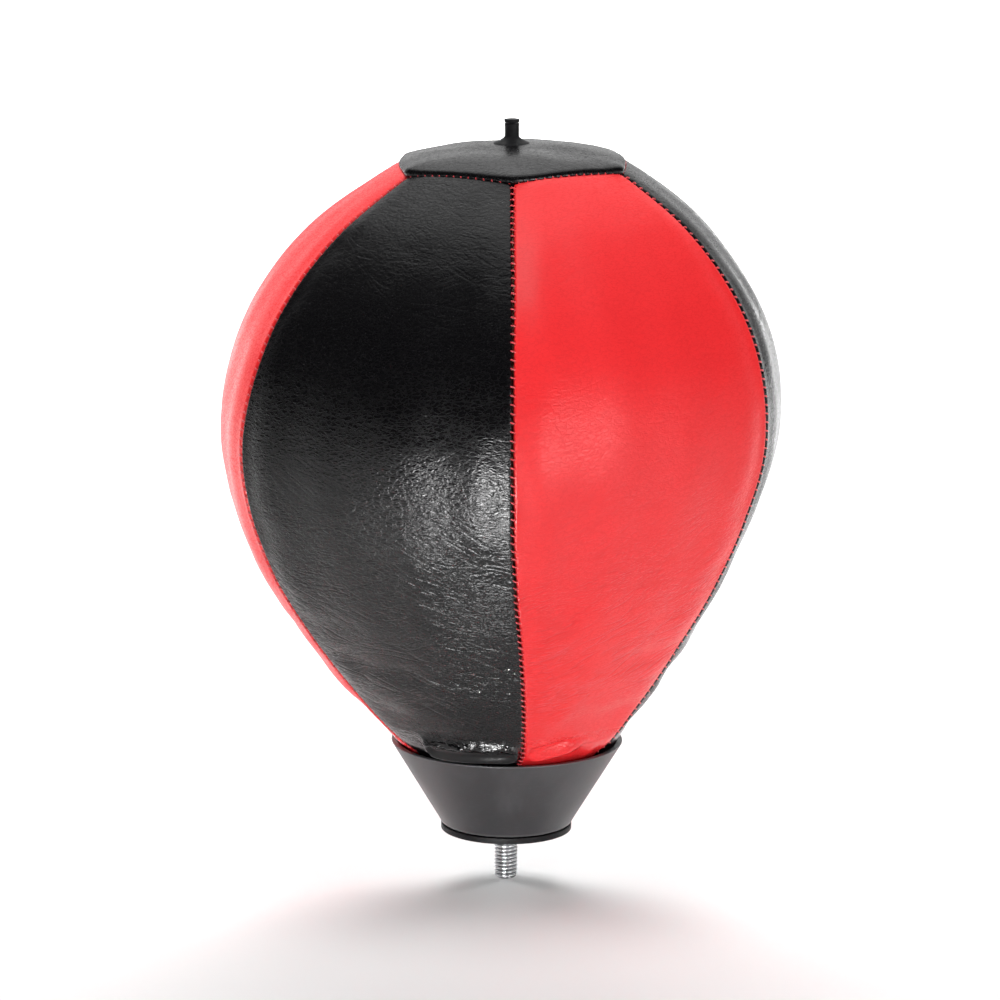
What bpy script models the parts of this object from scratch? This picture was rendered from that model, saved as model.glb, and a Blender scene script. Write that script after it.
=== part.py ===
"""Inflatable punch ball on a threaded stud: sewn six-gore cover, bladder, valve, seat cup and fasteners.

Metres, +Z up. The origin is on the stud's axis, on the underside of the base gasket.
The front seam faces -Y and the red front gore lies to its +X side.
"""

import math

import bmesh
import bpy
from mathutils import Vector

OBJECT_NAME = "punch_ball_unit"
MM = 0.001
GAP = 0.3 * MM
TAU = 2 * math.pi

# Cover
GORES = 6
GORE_ANGLE = TAU / GORES
FIRST_GORE_AZIMUTH = math.radians(-60)
COVER_THICKNESS = 1.2 * MM
SEAM_GROOVE = 0.9 * MM
THREAD_RADIUS = 0.22 * MM
GORE_COLUMNS = 6
ROWS_PER_SPAN = 2

# Height, radius at a seam, and the middle of a gore as a share of that radius.
SEAM_OUTLINE = (
    (16.0 * MM, 20.0 * MM, 1.00),
    (17.6 * MM, 25.0 * MM, 1.00),
    (24.0 * MM, 31.0 * MM, 1.00),
    (29.8 * MM, 34.9 * MM, 0.99),
    (34.5 * MM, 40.2 * MM, 0.96),
    (45.0 * MM, 48.8 * MM, 0.95),
    (65.0 * MM, 63.2 * MM, 0.95),
    (90.0 * MM, 79.0 * MM, 0.945),
    (115.0 * MM, 91.4 * MM, 0.94),
    (138.0 * MM, 96.3 * MM, 0.94),
    (162.0 * MM, 92.6 * MM, 0.945),
    (184.0 * MM, 82.2 * MM, 0.945),
    (204.0 * MM, 64.2 * MM, 0.94),
    (220.6 * MM, 40.2 * MM, 0.92),
)
NECK_HOLE_RADIUS = 4.8 * MM

# Hexagonal cap panel
CAP_CORNER_RADIUS = 39.3 * MM
CAP_EDGE_SHARE = 0.92
CAP_EDGE_Z = 221.2 * MM
CAP_RISE = 5.7 * MM
CAP_DOME_POWER = 3.2
CAP_HOLE_RADIUS = 3.8 * MM

# Bladder
BLADDER_THICKNESS = 0.9 * MM
BLADDER_CLEARANCE = 0.8 * MM
BLADDER_BOTTOM_Z = 29.0 * MM
PATCH_RADIUS = 14.0 * MM
PATCH_THICKNESS = 0.8 * MM

# Valve
VALVE_STEM_RADIUS = 2.35 * MM
VALVE_NECK_RADIUS = 3.3 * MM
VALVE_FLANGE_RADIUS = 6.35 * MM
VALVE_FLANGE_Z = 227.2 * MM
VALVE_SHOULDER_Z = 229.4 * MM
VALVE_RIM_Z = 234.4 * MM
VALVE_TOP_Z = 235.7 * MM
VALVE_BOTTOM_Z = 216.0 * MM
VALVE_BORE_RADIUS = 1.1 * MM
VALVE_CORE_RADIUS = 1.9 * MM
VALVE_CORE_LENGTH = 5.0 * MM
STOPPER_SHANK_RADIUS = 0.9 * MM
STOPPER_SHANK_LENGTH = 9.0 * MM
STOPPER_HEAD_RADIUS = 2.5 * MM

# Seat cup and gasket
GASKET_RADIUS = 21.6 * MM
GASKET_THICKNESS = 2.0 * MM
CUP_BOTTOM_Z = GASKET_THICKNESS + GAP
CUP_BOTTOM_RADIUS = 21.4 * MM
CUP_RIM_Z = 30.6 * MM
CUP_RIM_RADIUS = 38.3 * MM
CUP_WALL = 1.8 * MM
CUP_FLOOR = 2.3 * MM
CUP_HOLE_RADIUS = 4.4 * MM
GASKET_HOLE_RADIUS = 4.25 * MM

# M8 fasteners
STUD_RADIUS = 3.95 * MM
STUD_TIP_Z = -17.0 * MM
STUD_CHAMFER = 0.8 * MM
HEX_ACROSS_FLATS = 13.0 * MM
BOLT_HEAD_HEIGHT = 5.3 * MM
NUT_HEIGHT = 6.5 * MM
FASTENER_HOLE_RADIUS = 4.3 * MM
PENNY_WASHER_RADIUS = 12.0 * MM
PENNY_WASHER_THICKNESS = 1.6 * MM
SPRING_WASHER_RADIUS = 7.2 * MM
SPRING_WASHER_THICKNESS = 2.0 * MM
SPRING_WASHER_SLIT = 1.2 * MM
CLAMP_PLATE_RADIUS = 16.0 * MM
CLAMP_PLATE_THICKNESS = 2.0 * MM
GUARD_PAD_RADIUS = 15.0 * MM
GUARD_PAD_THICKNESS = 2.6 * MM

COLOURS = {
    "red_leather": ((0.78, 0.03, 0.03), 0.42, 0.0),
    "black_leather": ((0.02, 0.02, 0.022), 0.40, 0.0),
    "red_thread": ((0.55, 0.02, 0.03), 0.75, 0.0),
    "black_rubber": ((0.02, 0.02, 0.02), 0.60, 0.0),
    "latex": ((0.35, 0.24, 0.14), 0.60, 0.0),
    "black_plastic": ((0.05, 0.05, 0.055), 0.38, 0.0),
    "grey_felt": ((0.25, 0.25, 0.26), 0.95, 0.0),
    "zinc": ((0.62, 0.64, 0.66), 0.30, 1.0),
}


def clear_scene():
    for obj in list(bpy.data.objects):
        bpy.data.objects.remove(obj, do_unlink=True)


def new_collection(name):
    collection = bpy.data.collections.new(name)
    bpy.context.scene.collection.children.link(collection)
    return collection


def material(name):
    found = bpy.data.materials.get(name)
    if found:
        return found
    colour, roughness, metallic = COLOURS[name]
    made = bpy.data.materials.new(name)
    made.use_nodes = True
    shader = made.node_tree.nodes["Principled BSDF"]
    shader.inputs["Base Color"].default_value = (*colour, 1)
    shader.inputs["Roughness"].default_value = roughness
    shader.inputs["Metallic"].default_value = metallic
    return made


def link(obj, collection, material_name=None):
    collection.objects.link(obj)
    if material_name:
        obj.data.materials.append(material(material_name))
    return obj


def object_from(build, name):
    """An object whose mesh is what build(bm) puts in a bmesh."""
    mesh = bpy.data.meshes.new(name)
    bm = bmesh.new()
    build(bm)
    bmesh.ops.recalc_face_normals(bm, faces=bm.faces)
    bm.to_mesh(mesh)
    bm.free()
    return bpy.data.objects.new(name, mesh)


def turned(name, profile, collection, material_name, steps=36):
    """A solid of revolution about +Z. The profile runs down its outer side, from the top."""
    mesh = bpy.data.meshes.new(name)
    points = [(radius, 0, height) for radius, height in profile]
    last = len(points) - 1
    edges = [(i, i + 1) for i in range(last)]
    if profile[0][0] > 0 or profile[-1][0] > 0:
        edges.append((last, 0))
    mesh.from_pydata(points, edges, [])
    obj = link(bpy.data.objects.new(name, mesh), collection, material_name)
    screw = obj.modifiers.new("Turn", "SCREW")
    screw.steps = screw.render_steps = steps
    screw.use_merge_vertices = True
    screw.merge_threshold = 0.00001
    screw.use_smooth_shade = True
    split = obj.modifiers.new("Edges", "EDGE_SPLIT")
    split.split_angle = math.radians(40)
    obj.modifiers.new("Weld", "WELD").merge_threshold = 0.000001
    return obj


def catmull_rom(points, per_span):
    """Points on a smooth curve through the given ones, per_span steps between each pair."""
    vectors = [Vector(p) for p in points]
    ends = [2 * vectors[0] - vectors[1], *vectors, 2 * vectors[-1] - vectors[-2]]
    found = []
    for a, b, c, d in zip(ends, ends[1:], ends[2:], ends[3:]):
        for step in range(per_span):
            t = step / per_span
            found.append(
                0.5 * (2 * b + (c - a) * t + (2 * a - 5 * b + 4 * c - d) * t**2
                       + (3 * b - a - 3 * c + d) * t**3)
            )
    return [*found, vectors[-1]]


def seam_outline(per_span=ROWS_PER_SPAN):
    return catmull_rom(SEAM_OUTLINE, per_span)


def gore_radius(seam_radius, middle_share, angle):
    """Radius at an angle from a gore's middle: an arc through both seams and the middle."""
    middle = seam_radius * middle_share
    chord_height = seam_radius * math.cos(GORE_ANGLE / 2)
    half_chord = seam_radius * math.sin(GORE_ANGLE / 2)
    rise = middle - chord_height
    arc = (half_chord**2 + rise**2) / (2 * rise)
    centre = middle - arc
    return centre * math.cos(angle) + math.sqrt(arc**2 - (centre * math.sin(angle)) ** 2)


def seam_azimuth(index):
    return FIRST_GORE_AZIMUTH - GORE_ANGLE / 2 + index * GORE_ANGLE


def gore_row(radius, share, height, groove):
    """Points across one gore, with its middle on +X and each side half a groove short of the seam."""
    row = []
    for column in range(GORE_COLUMNS + 1):
        across = 2 * column / GORE_COLUMNS - 1
        angle = across * GORE_ANGLE / 2
        reach = gore_radius(radius, share, angle)
        point = Vector((reach * math.cos(angle), reach * math.sin(angle), height))
        side = math.copysign(GORE_ANGLE / 2, across)
        seam_normal = Vector((-math.sin(side), math.cos(side), 0))
        row.append(point - seam_normal * (across * groove / 2))
    return row


def solidified(name, rows, closed, collection, material_name):
    """A grid of points given COVER_THICKNESS on its inner side. The rows run outwards or upwards."""
    def build(bm):
        grid = [[bm.verts.new(p) for p in row] for row in rows]
        for low, high in zip(grid, grid[1:]):
            columns = len(low) if closed else len(low) - 1
            for i in range(columns):
                j = (i + 1) % len(low)
                bm.faces.new((low[i], low[j], high[j], high[i]))

    obj = link(object_from(build, name), collection, material_name)
    middle = Vector((0, 0, CAP_EDGE_Z / 2))
    outward = sum(face.normal.dot(face.center - middle) for face in obj.data.polygons)
    shell = obj.modifiers.new("Thickness", "SOLIDIFY")
    shell.thickness = COVER_THICKNESS
    shell.offset = -1 if outward > 0 else 1
    shell.use_even_offset = True
    obj.data.shade_smooth()
    return obj


def cover_panel(index, collection):
    rows = [gore_row(NECK_HOLE_RADIUS, 1.0, SEAM_OUTLINE[0][0], SEAM_GROOVE)]
    rows += [gore_row(radius, share, height, SEAM_GROOVE) for height, radius, share in seam_outline()]
    colour = "black_leather" if index % 2 else "red_leather"
    panel = solidified(f"cover_panel_{index + 1}", rows, False, collection, colour)
    panel.rotation_euler.z = FIRST_GORE_AZIMUTH + index * GORE_ANGLE
    return panel


def cap_height(share):
    """Height of the cap at a share of the way from its middle to its edge."""
    return CAP_EDGE_Z + CAP_RISE * (1 - share**CAP_DOME_POWER)


def cap_ring(share, sides=GORES * 8):
    ring = []
    for step in range(sides):
        azimuth = seam_azimuth(0) + TAU * step / sides
        from_middle = (azimuth - seam_azimuth(0)) % GORE_ANGLE - GORE_ANGLE / 2
        reach = gore_radius(CAP_CORNER_RADIUS, CAP_EDGE_SHARE, from_middle)
        reach = CAP_HOLE_RADIUS + (reach - CAP_HOLE_RADIUS) * share
        ring.append(Vector((reach * math.cos(azimuth), reach * math.sin(azimuth), cap_height(share))))
    return ring


def top_panel(collection):
    shares = (0.0, 0.3, 0.55, 0.75, 0.9, 1.0)
    rows = [cap_ring(share) for share in shares]
    return solidified("top_panel", rows, True, collection, "black_leather")


def thread_tube(name, points, cyclic, collection):
    curve = bpy.data.curves.new(name, "CURVE")
    curve.dimensions = "3D"
    curve.bevel_depth = THREAD_RADIUS
    curve.bevel_resolution = 1
    curve.use_fill_caps = not cyclic
    spline = curve.splines.new("POLY")
    spline.points.add(len(points) - 1)
    for slot, point in zip(spline.points, points):
        slot.co = (*point, 1)
    spline.use_cyclic_u = cyclic
    return link(bpy.data.objects.new(name, curve), collection, "red_thread")


def seam_thread(index, collection):
    """The thread lies in the groove between two gores, from the cup's mouth to the cap."""
    run = [(h, r) for h, r, _ in seam_outline() if h > CUP_RIM_Z]
    points = [(radius, 0, height) for height, radius in run[:-1]]
    thread = thread_tube(f"seam_thread_{index + 1}", points, False, collection)
    thread.rotation_euler.z = seam_azimuth(index)
    return thread


def cap_thread(collection):
    drop = 0.25 * MM
    reach = 1 + 0.5 * SEAM_GROOVE / CAP_CORNER_RADIUS
    ring = [Vector((p.x * reach, p.y * reach, p.z - drop)) for p in cap_ring(1.0)]
    return thread_tube("cap_thread", ring, True, collection)


def bladder(collection):
    """A bag just inside the cover, closed at the bottom and open round the valve's neck."""
    inset = COVER_THICKNESS + BLADDER_CLEARANCE
    side = [
        (radius * share - inset, height)
        for height, radius, share in seam_outline(1)
        if BLADDER_BOTTOM_Z + 8 * MM < height < CAP_EDGE_Z - 8 * MM
    ]
    top_z = CAP_EDGE_Z + CAP_RISE - COVER_THICKNESS - PATCH_THICKNESS - 3 * GAP
    shoulder = [(25 * MM, top_z - 2.2 * MM), (PATCH_RADIUS + 2 * MM, top_z - 0.8 * MM)]
    mouth = (VALVE_NECK_RADIUS + GAP, top_z)
    foot = [
        (27 * MM, BLADDER_BOTTOM_Z + 2.2 * MM),
        (15 * MM, BLADDER_BOTTOM_Z + 0.3 * MM),
        (0, BLADDER_BOTTOM_Z),
    ]
    outer = [mouth, *reversed(shoulder), *reversed(side), *foot]
    mesh = bpy.data.meshes.new("bladder")
    edges = [(i, i + 1) for i in range(len(outer) - 1)]
    mesh.from_pydata([(radius, 0, height) for radius, height in outer], edges, [])
    obj = link(bpy.data.objects.new("bladder", mesh), collection, "latex")
    turn = obj.modifiers.new("Turn", "SCREW")
    turn.steps = turn.render_steps = 30
    turn.use_merge_vertices = True
    turn.merge_threshold = 0.00001
    shell = obj.modifiers.new("Thickness", "SOLIDIFY")
    shell.thickness = BLADDER_THICKNESS
    shell.offset = -1
    obj.data.shade_smooth()
    return obj


def bladder_patch(collection):
    top = CAP_EDGE_Z + CAP_RISE - COVER_THICKNESS - 2 * GAP
    low = top - PATCH_THICKNESS
    edge_drop = 0.3 * MM
    hole = VALVE_NECK_RADIUS + GAP
    profile = [
        (hole, top),
        (PATCH_RADIUS, top - edge_drop),
        (PATCH_RADIUS, low - edge_drop),
        (hole, low),
    ]
    return turned("bladder_patch", profile, collection, "black_rubber")


def valve_body(collection):
    core_top = VALVE_BOTTOM_Z + VALVE_CORE_LENGTH + GAP
    core_bore = VALVE_CORE_RADIUS + 0.1 * MM
    flange_edge = VALVE_FLANGE_Z + 0.5 * MM
    profile = [
        (VALVE_BORE_RADIUS, VALVE_RIM_Z),
        (VALVE_STEM_RADIUS, VALVE_RIM_Z),
        (VALVE_STEM_RADIUS, VALVE_SHOULDER_Z + 0.6 * MM),
        (VALVE_STEM_RADIUS + 0.5 * MM, VALVE_SHOULDER_Z - 0.1 * MM),
        (VALVE_STEM_RADIUS + 2.2 * MM, VALVE_SHOULDER_Z - 0.8 * MM),
        (VALVE_FLANGE_RADIUS, flange_edge),
        (VALVE_FLANGE_RADIUS, VALVE_FLANGE_Z),
        (VALVE_NECK_RADIUS, VALVE_FLANGE_Z),
        (VALVE_NECK_RADIUS, VALVE_BOTTOM_Z),
        (core_bore, VALVE_BOTTOM_Z),
        (core_bore, core_top),
        (VALVE_BORE_RADIUS, core_top),
    ]
    return turned("valve_body", profile, collection, "black_rubber", 24)


def valve_core(collection):
    """A self-sealing insert with a pinhole, flared where it grips the bore."""
    top = VALVE_BOTTOM_Z + VALVE_CORE_LENGTH
    pinhole = 0.35 * MM
    profile = [
        (pinhole, top),
        (VALVE_CORE_RADIUS, top),
        (VALVE_CORE_RADIUS, top - 2 * MM),
        (VALVE_CORE_RADIUS - 0.5 * MM, top - 2.5 * MM),
        (pinhole + 0.4 * MM, VALVE_BOTTOM_Z),
        (pinhole, VALVE_BOTTOM_Z),
    ]
    return turned("valve_core", profile, collection, "latex", 16)


def valve_stopper(collection):
    """A plug that pushes into the stem. Its origin is on the stem's rim."""
    under_head = GAP
    top = VALVE_TOP_Z - VALVE_RIM_Z
    round_off = 0.3 * MM
    profile = [
        (0, top),
        (STOPPER_HEAD_RADIUS - round_off, top),
        (STOPPER_HEAD_RADIUS, top - round_off),
        (STOPPER_HEAD_RADIUS, under_head),
        (STOPPER_SHANK_RADIUS, under_head),
        (STOPPER_SHANK_RADIUS, round_off - STOPPER_SHANK_LENGTH),
        (STOPPER_SHANK_RADIUS - round_off, -STOPPER_SHANK_LENGTH),
        (0, -STOPPER_SHANK_LENGTH),
    ]
    stopper = turned("valve_stopper", profile, collection, "black_rubber", 24)
    stopper.location.z = VALVE_RIM_Z
    return stopper


def base_cup(collection):
    slope = (CUP_RIM_RADIUS - CUP_BOTTOM_RADIUS) / (CUP_RIM_Z - CUP_BOTTOM_Z)
    wall_across = CUP_WALL * math.hypot(1, slope)
    floor_z = CUP_BOTTOM_Z + CUP_FLOOR
    inner_at_floor = CUP_BOTTOM_RADIUS + slope * CUP_FLOOR - wall_across
    lip = 0.35 * MM
    profile = [
        (CUP_RIM_RADIUS - wall_across + lip, CUP_RIM_Z),
        (CUP_RIM_RADIUS - lip, CUP_RIM_Z),
        (CUP_RIM_RADIUS, CUP_RIM_Z - lip),
        (CUP_BOTTOM_RADIUS + slope * lip, CUP_BOTTOM_Z + lip),
        (CUP_BOTTOM_RADIUS - lip, CUP_BOTTOM_Z),
        (CUP_HOLE_RADIUS, CUP_BOTTOM_Z),
        (CUP_HOLE_RADIUS, floor_z),
        (inner_at_floor - 1.5 * MM, floor_z),
        (inner_at_floor + slope * MM, floor_z + MM),
        (CUP_RIM_RADIUS - wall_across - slope * lip, CUP_RIM_Z - lip),
    ]
    return turned("base_cup", profile, collection, "black_plastic", 60)


def ring(name, inner, outer, bottom, height, material_name, collection, chamfer=0.0, steps=36):
    top = bottom + height
    profile = [(inner, top), (outer - chamfer, top)]
    if chamfer:
        profile += [(outer, top - chamfer), (outer, bottom + chamfer)]
    else:
        profile += [(outer, top)]
    profile += [(outer - chamfer, bottom), (inner, bottom)]
    return turned(name, profile, collection, material_name, steps)


def disc(name, radius, bottom, height, material_name, collection, round_off):
    """A solid round pad with its upper edge rounded."""
    top = bottom + height
    profile = [
        (0, top),
        (radius - 2 * round_off, top),
        (radius, top - round_off),
        (radius, bottom),
        (0, bottom),
    ]
    return turned(name, profile, collection, material_name)


def prism(name, radius, segments, bottom, height, collection):
    def build(bm):
        bmesh.ops.create_cone(
            bm, cap_ends=True, segments=segments, radius1=radius, radius2=radius, depth=height
        )

    obj = link(object_from(build, name), collection)
    obj.location.z = bottom + height / 2
    return obj


def hexagon(name, bottom, height, collection):
    corner_radius = HEX_ACROSS_FLATS / 2 / math.cos(math.pi / 6)
    obj = prism(name, corner_radius, 6, bottom, height, collection)
    edges = obj.modifiers.new("Edges", "BEVEL")
    edges.width = 0.4 * MM
    edges.segments = 1
    return obj


def boolean(obj, other, operation):
    cut = obj.modifiers.new(operation.title(), "BOOLEAN")
    cut.operation = operation
    cut.solver = "EXACT"
    cut.object = other


def hide_helper(obj):
    obj.hide_render = True
    obj.display_type = "WIRE"


def stack_heights():
    """The lower face of each piece on the stud, from the cup's floor up."""
    heights = {}
    level = CUP_BOTTOM_Z + CUP_FLOOR + GAP
    for name, height in (
        ("hex_nut", NUT_HEIGHT),
        ("spring_washer", SPRING_WASHER_THICKNESS),
        ("flat_washer", PENNY_WASHER_THICKNESS),
    ):
        heights[name] = level
        level += height + GAP
    level = SEAM_OUTLINE[0][0] + COVER_THICKNESS + GAP
    for name, height in (
        ("clamp_plate", CLAMP_PLATE_THICKNESS),
        ("bolt_head", BOLT_HEAD_HEIGHT),
        ("guard_pad", GUARD_PAD_THICKNESS),
    ):
        heights[name] = level
        level += height + GAP
    return heights


def stud_bolt(heights, collection, helpers):
    """A hexagon-head bolt, head up. The thread is drawn at its major diameter."""
    top = heights["bolt_head"] + 0.5 * MM
    profile = [
        (0, top),
        (STUD_RADIUS, top),
        (STUD_RADIUS, STUD_TIP_Z + STUD_CHAMFER),
        (STUD_RADIUS - STUD_CHAMFER, STUD_TIP_Z),
        (0, STUD_TIP_Z),
    ]
    bolt = turned("stud_bolt", profile, collection, "zinc", 32)
    head = hexagon("stud_head", heights["bolt_head"], BOLT_HEAD_HEIGHT, helpers)
    hide_helper(head)
    boolean(bolt, head, "UNION")
    return bolt


def hex_nut(heights, collection, helpers):
    nut = hexagon("hex_nut", heights["hex_nut"], NUT_HEIGHT, collection)
    nut.data.materials.append(material("zinc"))
    overshoot = 2 * MM
    hole = prism(
        "nut_hole", FASTENER_HOLE_RADIUS, 32, heights["hex_nut"] - overshoot,
        NUT_HEIGHT + 2 * overshoot, helpers,
    )
    hide_helper(hole)
    boolean(nut, hole, "DIFFERENCE")
    return nut


def spring_washer(heights, collection, helpers):
    washer = ring(
        "spring_washer", FASTENER_HOLE_RADIUS, SPRING_WASHER_RADIUS, heights["spring_washer"],
        SPRING_WASHER_THICKNESS, "zinc", collection,
    )
    slit = object_from(lambda bm: bmesh.ops.create_cube(bm, size=1), "washer_slit")
    slit.scale = (SPRING_WASHER_RADIUS, SPRING_WASHER_SLIT, 3 * SPRING_WASHER_THICKNESS)
    slit.location = (
        0.7 * SPRING_WASHER_RADIUS, 0, heights["spring_washer"] + SPRING_WASHER_THICKNESS / 2,
    )
    slit.rotation_euler.x = math.radians(35)
    link(slit, helpers)
    hide_helper(slit)
    boolean(washer, slit, "DIFFERENCE")
    return washer


def fasteners(collection, helpers):
    heights = stack_heights()
    stud_bolt(heights, collection, helpers)
    hex_nut(heights, collection, helpers)
    spring_washer(heights, collection, helpers)
    ring(
        "flat_washer", FASTENER_HOLE_RADIUS, PENNY_WASHER_RADIUS, heights["flat_washer"],
        PENNY_WASHER_THICKNESS, "zinc", collection,
    )
    ring(
        "clamp_plate", FASTENER_HOLE_RADIUS, CLAMP_PLATE_RADIUS, heights["clamp_plate"],
        CLAMP_PLATE_THICKNESS, "zinc", collection, 0.5 * MM,
    )
    disc(
        "guard_pad", GUARD_PAD_RADIUS, heights["guard_pad"], GUARD_PAD_THICKNESS,
        "grey_felt", collection, 0.6 * MM,
    )


def cover(collection):
    for index in range(GORES):
        cover_panel(index, collection)
        seam_thread(index, collection)
    top_panel(collection)
    cap_thread(collection)


def inflation(collection):
    bladder(collection)
    bladder_patch(collection)
    valve_body(collection)
    valve_core(collection)
    valve_stopper(collection)


def seat(collection):
    base_cup(collection)
    ring(
        "base_gasket", GASKET_HOLE_RADIUS, GASKET_RADIUS, 0.0, GASKET_THICKNESS,
        "black_rubber", collection, 0.4 * MM, 60,
    )


def main():
    clear_scene()
    collection = new_collection(OBJECT_NAME)
    helpers = new_collection("cutters")
    cover(collection)
    inflation(collection)
    seat(collection)
    fasteners(collection, helpers)


main()
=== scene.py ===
"""Looks of the punch ball unit: sewn leather cover, stitches, valve, cup, gasket, stud and studio.

Metres, +Z up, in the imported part's frame. Every new piece stands for the CAD node that it replaces.
"""

import math

import bpy
import numpy as np
from mathutils import Matrix, Vector, noise


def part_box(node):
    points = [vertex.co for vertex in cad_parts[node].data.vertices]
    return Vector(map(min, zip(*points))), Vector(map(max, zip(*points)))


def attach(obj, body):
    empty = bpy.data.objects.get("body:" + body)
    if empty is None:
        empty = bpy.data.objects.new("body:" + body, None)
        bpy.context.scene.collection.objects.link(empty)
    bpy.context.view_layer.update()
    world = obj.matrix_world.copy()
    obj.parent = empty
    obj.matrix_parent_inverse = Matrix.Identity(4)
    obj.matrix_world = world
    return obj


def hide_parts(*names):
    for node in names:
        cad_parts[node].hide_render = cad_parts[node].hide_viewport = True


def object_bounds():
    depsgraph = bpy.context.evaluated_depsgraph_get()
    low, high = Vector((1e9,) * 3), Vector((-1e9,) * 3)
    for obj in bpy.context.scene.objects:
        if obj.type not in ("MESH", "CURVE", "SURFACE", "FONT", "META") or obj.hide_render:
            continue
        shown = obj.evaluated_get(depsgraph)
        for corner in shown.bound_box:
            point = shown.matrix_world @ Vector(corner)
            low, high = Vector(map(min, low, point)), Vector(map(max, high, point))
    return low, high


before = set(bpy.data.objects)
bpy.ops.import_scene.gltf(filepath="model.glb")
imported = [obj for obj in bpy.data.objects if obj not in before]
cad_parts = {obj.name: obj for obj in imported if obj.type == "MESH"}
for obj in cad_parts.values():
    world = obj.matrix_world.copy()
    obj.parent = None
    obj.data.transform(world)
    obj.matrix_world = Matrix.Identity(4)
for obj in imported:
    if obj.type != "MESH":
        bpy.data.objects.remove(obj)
CAD_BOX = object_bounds()

MM = 0.001
TAU = 2 * math.pi

# The cover's outline, close to the CAD's: height, radius at a seam, and a gore's middle as a share of
# that radius. Both are set to the photograph's silhouette.
GORES = 6
GORE_ANGLE = TAU / GORES
FIRST_GORE_AZIMUTH = math.radians(-60)
NECK_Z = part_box("cover_panel_1")[0][2]
SEAM_OUTLINE = np.array([
    (NECK_Z / MM, 4.8, 1.00),
    (NECK_Z / MM, 12.0, 1.00),
    (16.1, 20.0, 1.00),
    (17.8, 25.0, 1.00),
    (24.0, 30.8, 1.00),
    (29.4, 34.2, 0.99),
    (34.5, 40.2, 0.96),
    (45.0, 49.2, 0.95),
    (65.0, 64.5, 0.95),
    (90.0, 80.7, 0.945),
    (115.0, 91.6, 0.94),
    (138.0, 96.3, 0.94),
    (162.0, 92.6, 0.945),
    (184.0, 82.2, 0.945),
    (204.0, 64.2, 0.94),
    (221.0, 39.6, 0.92),
]) * (MM, MM, 1)
CAP_APEX_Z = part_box("top_panel")[1][2]
CAP_DOME_POWER = 2.3
CAP_SEAM_RISE = 1.1 * MM
CAP_TILT = 0.016
CAP_HOLE_RADIUS = 3.5 * MM

# The leather shows from here up. Lower rows lie inside the cup.
SHOWN_Z = 27 * MM
# The gores meet the cap between these heights.
CAP_BLEND_Z = (190 * MM, 221 * MM)

# How the blown-up ball sits a little off true: height in mm, sideways lean in mm, the twist of all
# seams in degrees, and the further twist of the front one.
SETTLE = np.array([
    (27.0, 0.0, 0.0, 6.5),
    (34.0, -0.7, 1.5, 7.0),
    (45.0, -2.1, 1.8, 7.0),
    (70.0, -4.0, 1.8, 5.4),
    (92.0, -4.8, 1.8, 3.4),
    (115.0, -4.6, 1.8, 1.9),
    (140.0, -3.2, 1.8, 0.7),
    (165.0, -1.6, 2.0, -0.5),
    (195.0, -0.4, 2.2, -1.3),
    (220.0, 0.2, 2.2, -2.0),
    (227.0, 0.0, 2.2, 0.0),
])

# Seams
STITCH_PITCH = 2.8 * MM
ROLL_RADIUS = 1.15 * MM
TUCK_DEPTH = 0.5 * MM
TUCK_REACH = 3.4 * MM
SEAM_GAP = 0.2 * MM
TAB_DEPTHS = (4.5 * MM, 2.0 * MM)
LEATHER_THICKNESS = 1.0 * MM
THREAD_RADIUS = 0.28 * MM
STITCH_HALF_SPAN = 0.95 * MM
STITCH_SLANT = 0.3 * MM
STITCH_DEPTH = 0.5 * MM

# Where the gores and the cap lie on the flat hide, far enough apart to show different marks
HIDE_STEP = 0.31
CAP_HIDE_X = 3.1

# The four nets of creases: size of their cells across and along a gore, as cells in a metre, and how
# far a crease reaches into its cell
CREASE_SIZES = ((150, 400), (40, 170), (40, 180), (22, 100))
CREASE_REACHES = (0.22, 0.13, 0.13, 0.06)

# Which lumps the noise gives the gores, the cap and the cap's soft middle
GORE_SEED, CAP_SEED, CAP_MIDDLE_SEED = 3.0, 9.0, 11.0

# Grid spacing of the leather near an edge
EDGE_STEPS = np.array([0, 0.12, 0.35, 0.7, 1.1, 1.6, 2.3, 3.3, 4.8, 7.0]) * MM
FULL_STEPS_WIDTH = 20 * MM
MIDDLE_COLUMNS = 18
HIDDEN_ROW = 2.5 * MM

CUP_LOW, CUP_HIGH = map(Vector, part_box("base_cup"))
GASKET_LOW, GASKET_HIGH = map(Vector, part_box("base_gasket"))
VALVE_LOW, VALVE_HIGH = map(Vector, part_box("valve_body"))
STOPPER_LOW, STOPPER_HIGH = map(Vector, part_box("valve_stopper"))
STUD_LOW, STUD_HIGH = map(Vector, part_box("stud_bolt"))
SCREW_PITCH = 1.25 * MM

# Cloth run: columns in each gore, rows up the gores, rings on the cap, frames, and the most it may add
CLOTH_COLUMNS = 24
CLOTH_ROWS = 84
CLOTH_CAP_ROWS = 13
CLOTH_STEPS = 25
CLOTH_CAP = 1.5 * MM
CLOTH_SETTINGS = {
    "quality": 6, "mass": 0.02, "tension_stiffness": 25, "compression_stiffness": 25,
    "shear_stiffness": 8, "bending_stiffness": 0.3, "air_damping": 3, "use_pressure": True,
    "uniform_pressure_force": 6, "vertex_group_mass": "held", "vertex_group_shrink": "tight",
    "shrink_min": 0.0, "shrink_max": 0.05,
}

# Studio: the dark room, the white sweep behind the ball and the bright ceiling
WORLD_DARK = 0.03
WORLD_BACK = 0.85
WORLD_TOP = 0.15
BALL = (0, 0, 0.12)
FOOT = (0, 0.05, CAD_BOX[0][2])

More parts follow.
